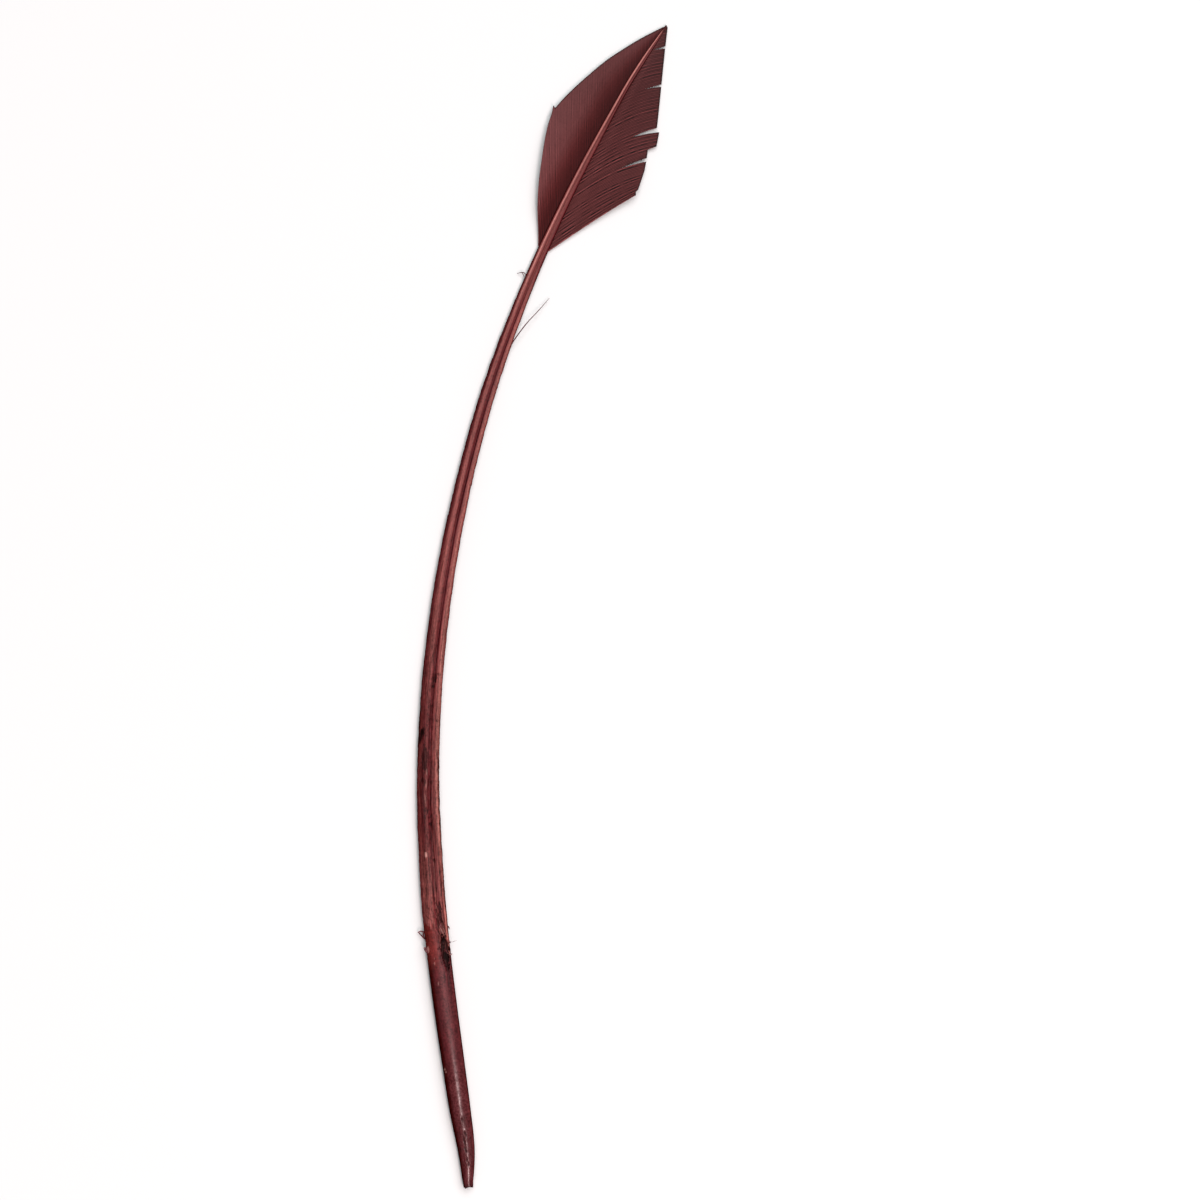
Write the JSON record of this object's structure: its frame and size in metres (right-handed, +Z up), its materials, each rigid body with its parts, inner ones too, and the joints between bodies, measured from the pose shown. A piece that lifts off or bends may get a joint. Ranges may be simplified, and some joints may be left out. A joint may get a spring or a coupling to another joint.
{
  "type": "turkey wing feather",
  "caption": "Bowed, stripped wing quill lying on its back, with a trimmed lance-shaped blade of vane left at the tip. Dyed red-brown.",
  "frame": {"origin": "middle of the feather's outline seen from above, on the surface that it lies on", "axes": "+Y runs along the feather from the butt of the quill towards the tip of the blade, +X to the side with the split vane, +Z up out of the grooved underside, which faces up"},
  "size_m": [0.0704, 0.3258, 0.0058],
  "materials": {
    "shaft_keratin": "horny keratin dyed red-brown: smooth and half glossy on the calamus, streaked and fibrous where it was stripped",
    "vane_left_barbs": "fine parallel barbs dyed red-brown, with a soft sheen",
    "vane_right_barbs": "fine parallel barbs dyed dark red-brown, matt"
  },
  "bodies": {
    "root": {"shaft": "shaft_keratin", "vane_left": "vane_left_barbs", "vane_right": "vane_right_barbs"}
  },
  "joints": []
}
